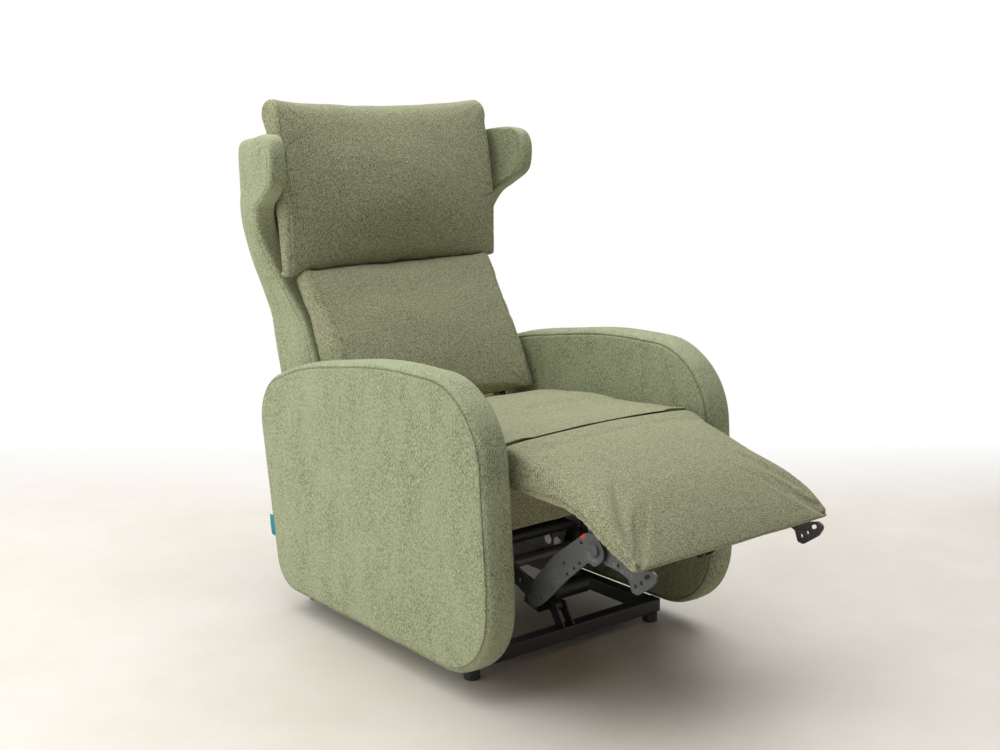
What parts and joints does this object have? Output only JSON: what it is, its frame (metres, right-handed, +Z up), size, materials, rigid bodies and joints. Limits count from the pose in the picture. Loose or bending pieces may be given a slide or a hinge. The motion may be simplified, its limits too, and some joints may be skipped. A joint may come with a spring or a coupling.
{
  "type": "lift recliner",
  "caption": "Wing-back lift recliner with padded arms, folding legrest on a steel linkage, reclining back and a lifting, forward-tilting base.",
  "frame": {"origin": "on the floor under the middle of the steel base", "axes": "the chair faces -Y, +X is the sitter's left, +Z is up"},
  "size_m": [0.7282, 1.2343, 1.1308],
  "materials": {
    "black_steel": "satin black powder coat",
    "dark_steel": "dark grey phosphate",
    "zinc_steel": "zinc plated",
    "black_plastic": "matte",
    "yellow_plastic": "natural nylon",
    "plywood": "raw",
    "webbing": "woven",
    "green_fabric": "heathered weave"
  },
  "bodies": {
    "base": {"base_front_rail": "black_steel", "base_rear_rail": "black_steel", "base_side_rails": "black_steel", "base_feet": "black_plastic", "base_end_caps": "black_plastic", "lift_brackets": "black_steel", "base_pins": "zinc_steel", "lift_drive": "black_plastic", "lift_drive_hanger": "black_steel"},
    "lift_links": {"lift_links": "black_steel", "lift_tube": "black_steel", "strut_pins": "zinc_steel"},
    "guide_links": {"guide_links": "black_steel"},
    "carriage": {"carriage_plates": "black_steel", "carriage_tube": "black_steel", "carriage_pins": "zinc_steel"},
    "chair": {"side_plates": "dark_steel", "chair_pins": "zinc_steel", "front_bolts": "zinc_steel", "tie_tubes": "black_steel", "seat_rails_side": "plywood", "seat_rail_front": "plywood", "seat_rail_rear": "plywood", "seat_webbing": "webbing", "seat_cushion": "green_fabric", "front_fascia": "green_fabric", "arm_bolts": "zinc_steel", "arm_cover_left": "green_fabric", "arm_cover_right": "green_fabric", "arm_boards": "plywood", "switch_panel": "black_plastic", "drive_hangers": "black_steel", "legrest_drive": "black_plastic", "back_drive": "black_plastic"},
    "tilt_struts": {"tilt_struts": "black_steel"},
    "drive_links": {"drive_links": "dark_steel", "drive_tube": "dark_steel"},
    "main_links": {"main_links": "dark_steel", "elbow_pins": "zinc_steel"},
    "legrest": {"legrest_pad": "green_fabric", "legrest_board": "plywood", "legrest_brackets": "dark_steel", "knee_pins": "zinc_steel", "knee_washers": "yellow_plastic"},
    "backrest": {"back_posts": "plywood", "back_rails": "plywood", "back_brackets": "black_steel", "back_tube": "black_steel", "back_pins": "zinc_steel", "back_webbing": "webbing", "wing_left": "green_fabric", "wing_right": "green_fabric", "back_panel": "green_fabric", "lumbar_cushion": "green_fabric", "head_cushion": "green_fabric"},
    "lift_rod": {"lift_rod": "zinc_steel"},
    "legrest_rod": {"legrest_rod": "zinc_steel"},
    "back_rod": {"back_rod": "zinc_steel"},
    "button_rise": {"button_rise": "black_plastic"},
    "button_recline": {"button_recline": "black_plastic"}
  },
  "joints": [
    {"name": "lift", "type": "hinge", "parent": "base", "child": "lift_links", "pos_m": [0, 0.295, 0.115], "axis": [-1, 0, 0], "range_deg": [0, 38]},
    {"name": "guide_turn", "type": "hinge", "parent": "base", "child": "guide_links", "pos_m": [0, 0.24, 0.07], "axis": [-1, 0, 0], "range_deg": [0, 38]},
    {"name": "carriage_level", "type": "hinge", "parent": "lift_links", "child": "carriage", "pos_m": [0, -0.0002, 0.125], "axis": [1, 0, 0], "range_deg": [0, 38]},
    {"name": "tilt", "type": "hinge", "parent": "carriage", "child": "chair", "pos_m": [0, -0.1402, 0.2131], "axis": [1, 0, 0], "range_deg": [0, 17.14]},
    {"name": "strut_turn", "type": "hinge", "parent": "chair", "child": "tilt_struts", "pos_m": [0, -0.074, 0.224], "axis": [-1, 0, 0], "range_deg": [0, 7.52]},
    {"name": "legrest", "type": "hinge", "parent": "chair", "child": "legrest", "pos_m": [0, -0.405, 0.462], "axis": [1, 0, 0], "range_deg": [-20, 66]},
    {"name": "drive_turn", "type": "hinge", "parent": "chair", "child": "drive_links", "pos_m": [0, -0.235, 0.32286], "axis": [1, 0, 0], "range_deg": [-20, 66]},
    {"name": "main_turn", "type": "hinge", "parent": "drive_links", "child": "main_links", "pos_m": [0, -0.463, 0.21586], "axis": [-1, 0, 0], "range_deg": [-20, 66]},
    {"name": "recline", "type": "hinge", "parent": "chair", "child": "backrest", "pos_m": [0, 0.19, 0.4], "axis": [-1, 0, 0], "range_deg": [-8, 22]},
    {"name": "lift_rod_slide", "type": "slide", "parent": "base", "child": "lift_rod", "axis": [0, 0.9727, 0.2319], "range_m": [0, 0.06815]},
    {"name": "legrest_rod_slide", "type": "slide", "parent": "chair", "child": "legrest_rod", "axis": [0, 1, 0], "range_m": [-0.02255, 0.07441]},
    {"name": "back_rod_slide", "type": "slide", "parent": "chair", "child": "back_rod", "axis": [0, -0.9964, 0.0846], "range_m": [-0.0142, 0.03905]},
    {"name": "press_rise", "type": "slide", "parent": "chair", "child": "button_rise", "axis": [-1, 0, 0], "range_m": [0, 0.003], "stiffness_N_per_m": 600},
    {"name": "press_recline", "type": "slide", "parent": "chair", "child": "button_recline", "axis": [-1, 0, 0], "range_m": [0, 0.003], "stiffness_N_per_m": 600}
  ],
  "couplings": [
    {"joint": "guide_turn", "follows": "lift", "ratio": 1},
    {"joint": "carriage_level", "follows": "lift", "ratio": 1},
    {"joint": "tilt", "follows": "lift", "ratio": 0.451},
    {"joint": "strut_turn", "follows": "lift", "ratio": 0.1979},
    {"joint": "lift_rod_slide", "follows": "lift", "m_per_rad": 0.10275},
    {"joint": "drive_turn", "follows": "legrest", "ratio": 1},
    {"joint": "main_turn", "follows": "legrest", "ratio": 1},
    {"joint": "legrest_rod_slide", "follows": "legrest", "m_per_rad": 0.064598},
    {"joint": "back_rod_slide", "follows": "recline", "m_per_rad": 0.1017}
  ]
}
